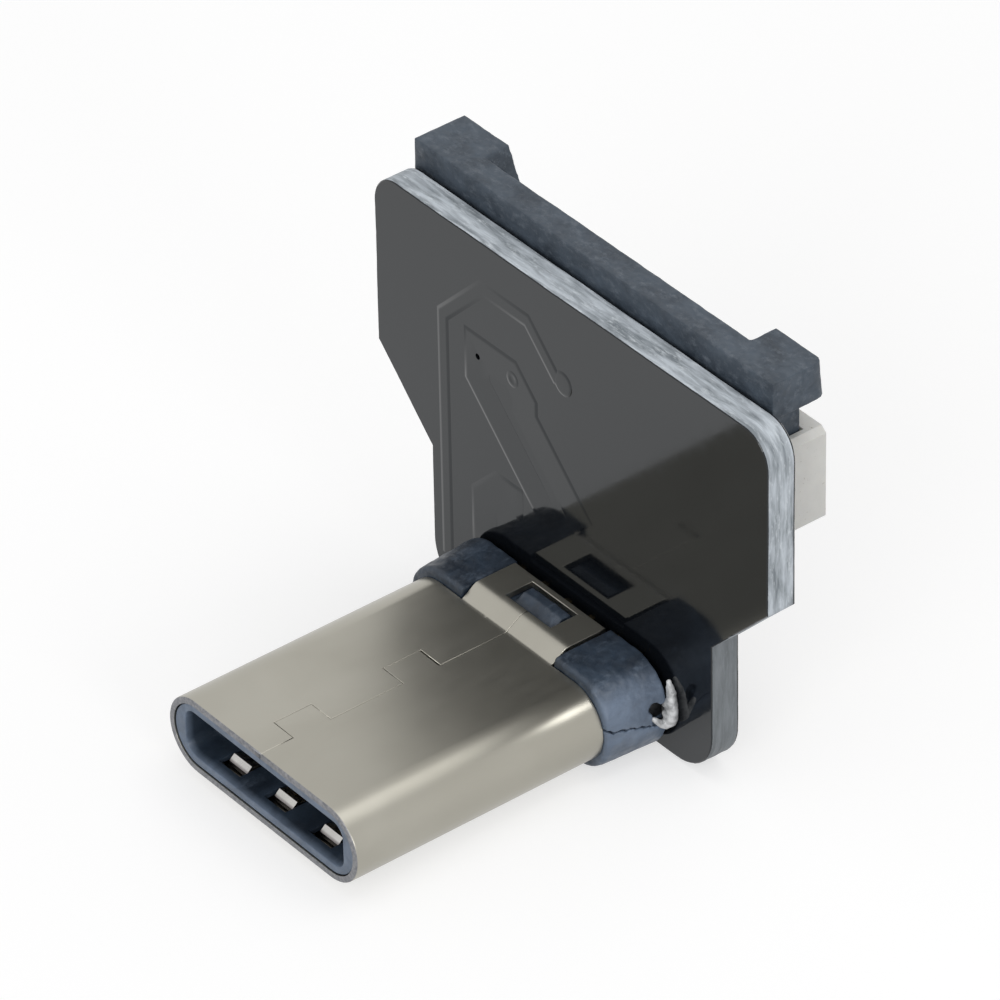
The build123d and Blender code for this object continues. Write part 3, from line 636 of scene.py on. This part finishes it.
# Board: a T of black-masked glass-fibre laminate, cut out with a router and set square to the plug.
# Its edges show the pale glass layers with the streaks that the cutter left, and the mask's thin rim.
board_front, board_back = 2.20, 3.15
board_corners = [
    (-6.02, -1.50, 1.5), (6.02, -1.50, 1.5), (6.02, 3.08, 0), (8.325, 5.43, 0),
    (8.325, 11.08, 1.0), (-8.325, 11.08, 1.0), (-8.325, 5.43, 0), (-6.02, 3.08, 0),
]
tail_columns, tail_rows, tail_hole_radius = [-2.75 + 0.5 * n for n in range(12)], (0.45, 0.95), 0.18
tail_places = [(x, way * tail_rows[n % 2]) for n, x in enumerate(tail_columns) for way in (-1, 1)]
pin_hole_place, pin_hole_radius = (-3.86, 7.23), 0.095
leg_places, slot_half_width, slot_half_height = [-4.10, 4.10], 0.33, 0.18
drill_overrun = 0.5
worn_rim, layer_step = 0.03, 0.096
mask_at_front, mask_at_back = 0.02, 0.065  # how far the mask reaches round on the cut edge
plated_half_width, plated_half_height, near_pin_hole = 4.5, 1.2, 0.2


def routed_outline(corners, spacing):
    """The board's outline as closely spaced points, each with its outward direction."""
    path = []
    for n, (x, z, radius) in enumerate(corners):
        here = Vector((x, z))
        before = (Vector(corners[n - 1][:2]) - here).normalized()
        after = (Vector(corners[(n + 1) % len(corners)][:2]) - here).normalized()
        if radius == 0:
            path.append(here)
            continue
        half_turn = before.angle(after) / 2
        reach = radius / math.tan(half_turn)
        centre = here + (before + after).normalized() * radius / math.sin(half_turn)
        start = here + before * reach - centre
        sweep = math.pi - 2 * half_turn
        for step in range(13):
            angle = sweep * step / 12
            path.append(centre + Vector((
                start.x * math.cos(angle) - start.y * math.sin(angle),
                start.x * math.sin(angle) + start.y * math.cos(angle))))
    points = []
    for here, there in zip(path, path[1:] + path[:1]):
        count = max(1, round((there - here).length / spacing))
        points += [here.lerp(there, step / count) for step in range(count)]
    outward = []
    for n in range(len(points)):
        along = points[(n + 1) % len(points)] - points[n - 1]
        outward.append(Vector((along.y, -along.x)).normalized())
    return list(zip(points, outward))


def routed_board():
    """The laminate as a stack of rings, each worn back a little by the cutter, closed front and back."""
    layers = [(board_front, 0.035), (board_front + worn_rim, 0.004)]
    layers += [(board_front + worn_rim + layer_step * n, 0) for n in range(1, 9)] + [(board_back - 0.07, 0)]
    layers += [(board_back - worn_rim, 0.004), (board_back, 0.030)]
    shape = bmesh.new()
    rings = []
    for y, setback in layers:
        ring = []
        for point, outward in routed_outline(board_corners, 0.12):
            streak = noise.noise(Vector((point.x * 0.5, y * 6, point.y * 0.5)))
            chip = noise.noise(Vector((point.x * 5, y * 3, point.y * 5)))
            worn = 0.016 * max(0, 0.4 + streak) + (0.014 * max(0, chip) if setback else 0.004 * max(0, chip))
            place = point - outward * (setback + worn)
            ring.append(shape.verts.new((place.x, y, place.y)))
        rings.append(ring)
    join_rings(shape, rings)
    return shape


def cut_through(shape, outline):
    """Adds a cutter with this outline, right through the board, to the shape of the cutters."""
    ends = (board_front - drill_overrun, board_back + drill_overrun)
    prism(shape, outline, lambda x, z, y: (x, y, z), ends)


def drill(shape, x, z, radius, sides=20):
    """Adds a round drill at this place to the shape of the cutters."""
    angles = [2 * math.pi * n / sides for n in range(sides)]
    cut_through(shape, [(x + radius * math.cos(angle), z + radius * math.sin(angle)) for angle in angles])


def black_mask():
    """Glossy black solder mask: nearly black, smooth as glass, with a very faint swell."""
    mask = Finish("black_mask", rough=0.07, gloss=1.50)
    mask.shader.inputs["Specular Tint"].default_value = (0.93, 0.975, 1, 1)
    cloud = mask.mottle((0.25, 0.25, 0.25), detail=2)
    mask.colour(mask.blend(cloud, (0.0030, 0.0040, 0.0056), (0.0065, 0.0078, 0.0100)))
    dust = mask.mottle((2.5, 2.5, 2.5), detail=5, roughness=0.7)
    mask.roughness(mask.spread(dust, 0.35, 0.75, 0.05, 0.13))
    mask.raise_by(mask.mottle((0.5, 0.5, 0.5), detail=1), 1.0)
    return mask


def cut_laminate():
    """The cut edge of glass-fibre laminate: pale grey, with streaks of fibre, greyer low on the tongue."""
    laminate = Finish("cut_laminate", rough=0.6, gloss=1.5)
    fibres = laminate.mottle((0.7, 5, 0.7), detail=4, roughness=0.6, twist=0.3)
    fray = laminate.mottle((2.5, 9, 2.5), detail=5, roughness=0.7, shift=11)
    base = laminate.blend(laminate.spread(fibres, 0.34, 0.62), (0.21, 0.238, 0.262), (0.60, 0.652, 0.705))
    clean = laminate.blend(laminate.spread(fray, 0.54, 0.74), base, (0.74, 0.79, 0.83))
    height = laminate.node("SeparateXYZ", {"Vector": laminate.place}).outputs["Z"]
    low = laminate.spread(height, 0.0045, 0.0030, 0, 0.80)
    laminate.colour(laminate.blend(low, clean, (0.12, 0.132, 0.14)))
    laminate.roughness(laminate.spread(fray, 0.3, 0.7, 0.45, 0.75))
    laminate.raise_by(fibres, 25)
    laminate.raise_by(fray, 10)
    return laminate


mask, laminate = black_mask(), cut_laminate()
board = make_piece("routed_board", routed_board())
drills = bmesh.new()
for x, z in tail_places:
    drill(drills, x, z, tail_hole_radius, 14)
drill(drills, *pin_hole_place, pin_hole_radius)
for x in leg_places:
    low_left, low_right = (x - slot_half_width, -slot_half_height), (x + slot_half_width, -slot_half_height)
    high_right, high_left = (x + slot_half_width, slot_half_height), (x - slot_half_width, slot_half_height)
    cut_through(drills, [low_left, low_right, high_right, high_left])
cut_or_join(board, "DIFFERENCE", drills)
board.data.materials.clear()
for finish in (laminate, mask, bright):
    board.data.materials.append(finish.material)
for face in board.data.polygons:
    centre = face.center
    at_face = centre.y < board_front + mask_at_front or centre.y > board_back - mask_at_back
    plated = abs(centre.x) < plated_half_width and abs(centre.z) < plated_half_height
    from_pin_hole = max(abs(centre.x - pin_hole_place[0]), abs(centre.z - pin_hole_place[1]))
    in_pin_hole = from_pin_hole < near_pin_hole
    face.material_index = 1 if at_face or in_pin_hole else 2 if plated else 0
    face.use_smooth = face.material_index == 0
fit(board, laminate, "board_mask", "circuit_board")

# Tracks: copper that the etching left under the mask, so it shows only as low rounded steps.
# A wide track climbs the left side to a round pad. Two areas of copper lie to its right.
wide_track = [(-5.38, -0.30), (-5.38, 7.85), (-3.65, 9.58), (-1.70, 9.58), (-0.48, 8.36), (-0.20, 8.33)]
copper_areas = [
    [(-1.45, 3.30), (-2.00, 3.85), (-4.42, 6.27), (-4.42, 7.95), (-2.20, 7.95), (-1.32, 7.07), (-1.32, 6.62),
     (0.35, 4.95), (1.00, 4.30)],
    [(-4.23, 0.90), (-4.23, 1.50), (-4.23, 2.70), (-3.18, 3.75), (-2.45, 3.75), (-2.00, 3.75)],
]
copper_height, sharpest_mitre, flat_round_pin = 0.019, 0.5, 0.12
pads = {  # the track's round pad, and a via whose ring stands up under the mask, as (radius, height)
    (-0.18, 8.33): [(0.02, 0.021), (0.26, 0.021), (0.30, 0.0195), (0.33, 0.016), (0.37, 0.005), (0.39, 0),
                    (0.40, -0.007)],
    (-2.34, 7.31): [(0.02, 0.013), (0.07, 0.014), (0.11, 0.018), (0.15, 0.023), (0.19, 0.023), (0.24, 0.016),
                    (0.29, 0.004), (0.31, -0.007)],
}
track_profile = [(-0.26, -0.5), (-0.25, 0), (-0.22, 0.25), (-0.17, 0.78), (-0.14, 0.95), (-0.11, 1.0),
                 (0.11, 1.0), (0.14, 0.95), (0.17, 0.78), (0.22, 0.25), (0.25, 0), (0.26, -0.5)]
area_profile = [(-0.05, -0.5), (-0.04, 0), (-0.01, 0.25), (0.04, 0.78), (0.07, 0.95), (0.10, 1.0),
                (0.13, 0.99), (0.60, 0.55), (1.05, 0.15), (1.06, -0.5)]


def lay_copper(shape, profile, route, end_height):
    """A raised strip with this profile across its route, mitred at its corners."""
    points = [Vector(point) for point in route]
    rings = []
    for n, point in enumerate(points):
        into = (point - points[n - 1]).normalized() if n else (points[1] - point).normalized()
        out = (points[n + 1] - point).normalized() if n + 1 < len(points) else into
        across = (Vector((into.y, -into.x)) + Vector((out.y, -out.x))).normalized()
        across /= max(sharpest_mitre, across.dot(Vector((into.y, -into.x))))
        height = copper_height * (end_height if n in (0, len(points) - 1) else 1)
        rings.append([shape.verts.new((
            point.x + across.x * aside, board_front - height * rise, point.y + across.y * aside))
            for aside, rise in profile])
    join_rings(shape, rings)


def turn_on_board(shape, x, z, profile, base_y, way, sides=28, bend=0):
    """Adds a round form turned from a profile of (radius, height) pairs, standing on the board."""
    rings = []
    for radius, height in profile:
        ring = []
        for n in range(sides):
            angle = 2 * math.pi * n / sides
            wave = noise.noise(Vector((math.cos(angle) + x * 3, math.sin(angle) + z * 3, height * 2)))
            reach = radius * (1 + bend * wave)
            place = (x + reach * math.cos(angle), base_y + way * height, z + reach * math.sin(angle))
            ring.append(shape.verts.new(place))
        rings.append(ring)
    join_rings(shape, rings)


copper = bmesh.new()
lay_copper(copper, track_profile, wide_track, 1)
for route in copper_areas:
    lay_copper(copper, area_profile, route, 0.15)
for (x, z), profile in pads.items():
    turn_on_board(copper, x, z, profile, board_front, -1)
track_steps = make_piece("track_steps", copper)
pin_drill = bmesh.new()
drill(pin_drill, *pin_hole_place, pin_hole_radius)
cut_or_join(track_steps, "DIFFERENCE", pin_drill)
track_steps.data.shade_smooth()
for face in track_steps.data.polygons:
    if math.dist((face.center.x, face.center.z), pin_hole_place) < flat_round_pin:
        face.use_smooth = False
track_steps.modifiers.new("even", "WEIGHTED_NORMAL").weight = 80
settle(track_steps)
fit(track_steps, mask, "track_mask", "front_tracks")

# Plug joints: the contacts' tails come through the board's plated holes and are soldered behind it.
# Each joint is a small hollow-sided cone of bright tin that creeps up its tail.
cone_profile = [  # radius and height
    (0.31, 0), (0.27, 0.03), (0.22, 0.07), (0.185, 0.13), (0.165, 0.19), (0.15, 0.25), (0.10, 0.28),
]


def bright_tin():
    """Reflowed tin: bright, slightly wavy, with dull frosted patches."""
    tin = Finish("bright_tin", metal=1, rough=0.25)
    frost = tin.mottle((3, 3, 3), detail=4, roughness=0.6)
    tin.colour(tin.blend(tin.spread(frost, 0.4, 0.7), (0.78, 0.78, 0.77), (0.58, 0.58, 0.57)))
    tin.roughness(tin.spread(frost, 0.35, 0.7, 0.16, 0.42))
    tin.raise_by(tin.mottle((4, 4, 4), detail=3), 8)
    return tin


tin = bright_tin()
cones = bmesh.new()
for x, z in tail_places:
    turn_on_board(cones, x, z, cone_profile, board_back, 1, sides=20, bend=0.10)
tail_joints = make_piece("tail_joints", cones)
tail_joints.data.shade_smooth()
fit(tail_joints, tin, "solder", "plug_solder")

# Leg joints: the middle plate's two legs are soldered in the board's slots. Some solder and pale
# flux has run through to the front and stands as a rough lump between the board and the collar.
def frosted_flux():
    """Solder under dried flux: whitish, lumpy and mostly dull."""
    flux = Finish("frosted_flux", metal=0.15, rough=0.5, gloss=1.5)
    cloud = flux.mottle((3, 3, 3), detail=5, roughness=0.65)
    flux.colour(flux.blend(flux.spread(cloud, 0.30, 0.58), (0.22, 0.225, 0.23), (0.66, 0.67, 0.68)))
    flux.roughness(flux.spread(cloud, 0.35, 0.7, 0.3, 0.65))
    flux.raise_by(flux.mottle((6, 6, 6), detail=3), 8)
    return flux


flux = frosted_flux()
mound_radii = (0.42, 0.35, 0.34)
lump_line = [  # out from the middle, y, z, radius
    (4.34, 2.10, 1.00, 0.10), (4.40, 2.09, 0.86, 0.14), (4.46, 2.07, 0.70, 0.17),
    (4.50, 2.05, 0.52, 0.19), (4.52, 2.04, 0.34, 0.20), (4.53, 2.04, 0.16, 0.21),
    (4.53, 2.03, -0.02, 0.21), (4.50, 2.00, -0.16, 0.20), (4.44, 1.90, -0.24, 0.17),
    (4.42, 1.78, -0.20, 0.14), (4.42, 1.68, -0.12, 0.12), (4.42, 1.58, -0.02, 0.11),
    (4.41, 1.50, 0.08, 0.09), (4.38, 1.97, 0.36, 0.15), (4.40, 1.95, 0.05, 0.15),
]
lumps = bmesh.new()
for side in (-1, 1):
    for out, y, z, radius in lump_line:
        if side > 0 or z < 0.3:
            place = Matrix.Translation((side * out, y, z))
            bmesh.ops.create_icosphere(lumps, subdivisions=2, radius=radius, matrix=place)
    mound = Matrix.Translation((side * leg_places[1], board_back, 0)) @ Matrix.Diagonal((*mound_radii, 1))
    bmesh.ops.create_icosphere(lumps, subdivisions=3, radius=1, matrix=mound)
leg_joints = make_piece("leg_joints", lumps)
mould(leg_joints, 0.03, 12, 0.02, 3.0)
fit(leg_joints, flux, "solder", "leg_solder")

# Back pads: tinned copper pads on the board's back for the flat-cable connector and the resistor.
# They stand a little above the mask, with rounded rims.
fit(soft_copy("back_pads", "tinned_pads", 0.012), tin, "solder", "back_pads")

# Connector housing: one ivory moulding on the board's back with a slot on top for a flat cable,
# twenty narrow slots for its contacts, and a channel at each end that guides the lock's arms.
connector_middle, connector_half, ways = -0.30, 7.50, 20
housing_low, housing_high, housing_foot, housing_top = 3.21, 5.15, 6.75, 9.60
cable_low, cable_high, cable_half, cable_floor = 3.60, 4.60, 5.45, 7.60
way_columns, way_half = [connector_middle - 4.75 + 0.5 * n for n in range(ways)], 0.12
way_line = [(3.0, 5.7), (4.95, 5.7), (4.95, 10.6), (4.5, 10.6), (4.5, 7.60), (3.0, 7.60)]
channel = (6.45, 3.40, 7.40), (7.15, 4.65, 10.6)  # low and high corner, with X out from the middle
anchor_slot = (7.35, 3.0, 7.29), (8, 3.91, 8.71)
chamfer_line = [(7.14, 9.75), (7.65, 9.75), (7.65, 9.30)]  # out from the middle, and height
chamfer_front, chamfer_back = 3.0, 5.3


def block(shape, low, high):
    """Adds a block between two opposite corners."""
    outline = [(low[0], low[1]), (high[0], low[1]), (high[0], high[1]), (low[0], high[1])]
    prism(shape, outline, lambda x, y, z: (x, y, z), (low[2], high[2]))


def ivory_moulding():
    """Heat-proof ivory plastic: warm off-white, slightly clouded, with a fine satin skin."""
    ivory = Finish("ivory_moulding", rough=0.48, gloss=1.5)
    cloud = ivory.mottle((0.8, 0.8, 0.8), detail=5, roughness=0.6)
    base = ivory.blend(ivory.spread(cloud, 0.35, 0.68), (0.76, 0.755, 0.725), (0.68, 0.675, 0.65))
    specks = ivory.spread(ivory.mottle((9, 9, 9), detail=3, roughness=0.6, shift=4), 0.66, 0.8)
    ivory.colour(ivory.blend(specks, base, (0.36, 0.33, 0.28)))
    ivory.roughness(ivory.spread(cloud, 0.3, 0.7, 0.4, 0.58))
    ivory.raise_by(ivory.mottle((14, 14, 14), detail=3), 5)
    ivory.shader.inputs["Subsurface Weight"].default_value = 0.08
    ivory.shader.inputs["Subsurface Radius"].default_value = (0.0004, 0.0003, 0.0002)
    ivory.shader.inputs["Subsurface Scale"].default_value = 1
    return ivory


ivory = ivory_moulding()
housing = bmesh.new()
block(housing, (connector_middle - connector_half, housing_low, housing_foot),
      (connector_middle + connector_half, housing_high, housing_top))
housing_piece = make_piece("cable_connector_housing", housing)
cable_slot = bmesh.new()
block(cable_slot, (connector_middle - cable_half, cable_low, cable_floor),
      (connector_middle + cable_half, cable_high, housing_top + 1))
cut_or_join(housing_piece, "DIFFERENCE", cable_slot)
way_slots = bmesh.new()
for x in way_columns:
    prism(way_slots, way_line, lambda y, z, end, x=x: (x + end, y, z), (-way_half, way_half))
cut_or_join(housing_piece, "DIFFERENCE", way_slots)
end_cuts = bmesh.new()
for side in (-1, 1):
    for low, high in (channel, anchor_slot):
        inner, outer = sorted((connector_middle + side * low[0], connector_middle + side * high[0]))
        block(end_cuts, (inner, *low[1:]), (outer, *high[1:]))
    prism(end_cuts, chamfer_line,
          lambda out, z, y, side=side: (connector_middle + side * out, y, z), (chamfer_front, chamfer_back))
cut_or_join(housing_piece, "DIFFERENCE", end_cuts)
round_edges(housing_piece, 0.04)
fit(housing_piece, ivory, "ivory_plastic",
    "connector_rear", "connector_floor", "connector_roof", "connector_ends")

# Connector contacts and anchors: stamped contacts pressed into the housing's slots from behind,
# and a tinned angle at each end. All are soldered to the back pads by their feet.
fit(soft_copy("connector_contacts", "cable_contact_row", 0.02), gold, "contact_metal", "connector_contacts")
fit(soft_copy("connector_anchors", "end_anchors", 0.025), bright, "solder", "connector_anchors")
fit(soft_copy("connector_solder", "foot_joints", 0.02), tin, "solder", "connector_solder")

# Locking bar: a slate-blue moulding pulled out of the housing by its two ears. Pushed down, its
# tongue presses the cable on the contacts, and its arms hold it in the end channels.
lock_shapes = [  # low corner and high corner, with X measured from the connector's middle
    ((-5.70, 3.25, 10.77), (5.70, 4.15, 11.86)),
    ((-5.40, 3.65, 8.70), (5.40, 4.05, 10.90)),
]
arm_low, arm_high = (6.50, 3.45, 8.47), (7.10, 4.60, 10.80)
ear_low, ear_high, ear_lean, ear_flare = 10.67, 11.86, 0.10, 0.40
ear_back_from, ear_inside_to = 4, 6
ear_lines = {
    -1: [(5.60, 3.25), (7.55, 3.25), (7.55, 5.12), (5.60, 5.12)],
    1: [(5.60, 3.25), (7.55, 3.25), (7.55, 4.84), (7.52, 4.96), (7.44, 5.06), (7.30, 5.12), (5.60, 5.12)],
}


def slate_bar():
    """The lock's slate plastic: darker and duller than the collar's, with dusty patches."""
    bar = Finish("slate_bar", rough=0.5, gloss=1.48)
    cloud = bar.mottle((0.9, 1.2, 1.2), detail=5, roughness=0.62, twist=0.4, shift=2)
    dust = bar.spread(bar.mottle((3, 5, 5), detail=6, roughness=0.72, shift=9), 0.52, 0.8)
    base = bar.blend(bar.spread(cloud, 0.35, 0.68), (0.029, 0.040, 0.055), (0.067, 0.088, 0.115))
    bar.colour(bar.blend(dust, base, (0.135, 0.158, 0.188)))
    bar.roughness(bar.spread(bar.mottle((6, 6, 6), detail=4), 0.3, 0.7, 0.42, 0.66))
    bar.raise_by(bar.mottle((2.5, 2.5, 2.5), detail=4), 16)
    bar.raise_by(bar.mottle((20, 20, 20), detail=3, shift=5), 4)
    return bar


lock = bmesh.new()
for low, high in lock_shapes:
    block(lock, (connector_middle + low[0], *low[1:]), (connector_middle + high[0], *high[1:]))
for side in (-1, 1):
    inner, outer = sorted((connector_middle + side * arm_low[0], connector_middle + side * arm_high[0]))
    block(lock, (inner, *arm_low[1:]), (outer, *arm_high[1:]))

    def ear_corner(out, y, z, side=side):
        """A corner of the ear. Its back leans in towards the top, and its inner side spreads at the foot."""
        height = (z - ear_low) / (ear_high - ear_low)
        if y > ear_back_from:
            y -= ear_lean * height
            out -= ear_flare * (1 - height) * (out < ear_inside_to)
        return connector_middle + side * out, y, z

    prism(lock, ear_lines[side], ear_corner, (ear_low, ear_high))
locking_bar = make_piece("locking_bar", lock)
mould(locking_bar, 0.048, 2, 0.010, 1.8)
fit(locking_bar, slate_bar(), "lock_plastic", "lock_slider", body="lock")

# Chip resistor: a black-glazed ceramic chip with wrapped tin ends, soldered under the connector.
# Its ends are dipped and its solder climbs half their height.
def glazed_chip():
    """White ceramic with a black glaze on its upper face."""
    glaze = Finish("glazed_chip", rough=0.25, gloss=1.52)
    face_height = glaze.node("SeparateXYZ", {"Vector": glaze.place}).outputs["Y"]
    top = glaze.spread(face_height, 0.003550, 0.003560)
    cloud = glaze.mottle((5, 5, 5), detail=4)
    ceramic = glaze.blend(cloud, (0.72, 0.71, 0.68), (0.62, 0.61, 0.58))
    black = glaze.blend(cloud, (0.010, 0.010, 0.012), (0.022, 0.022, 0.024))
    glaze.colour(glaze.blend(top, ceramic, black))
    glaze.roughness(glaze.spread(cloud, 0.3, 0.7, 0.18, 0.4))
    glaze.raise_by(glaze.mottle((8, 8, 8), detail=2), 4)
    return glaze


fit(soft_copy("resistor_body", "chip_body", 0.03), glazed_chip(), "resistor_ceramic", "resistor_body")
fit(soft_copy("resistor_caps", "chip_ends", 0.03), tin, "solder", "resistor_caps")
fit(soft_copy("resistor_solder", "chip_joints", 0.04), tin, "solder", "resistor_solder")
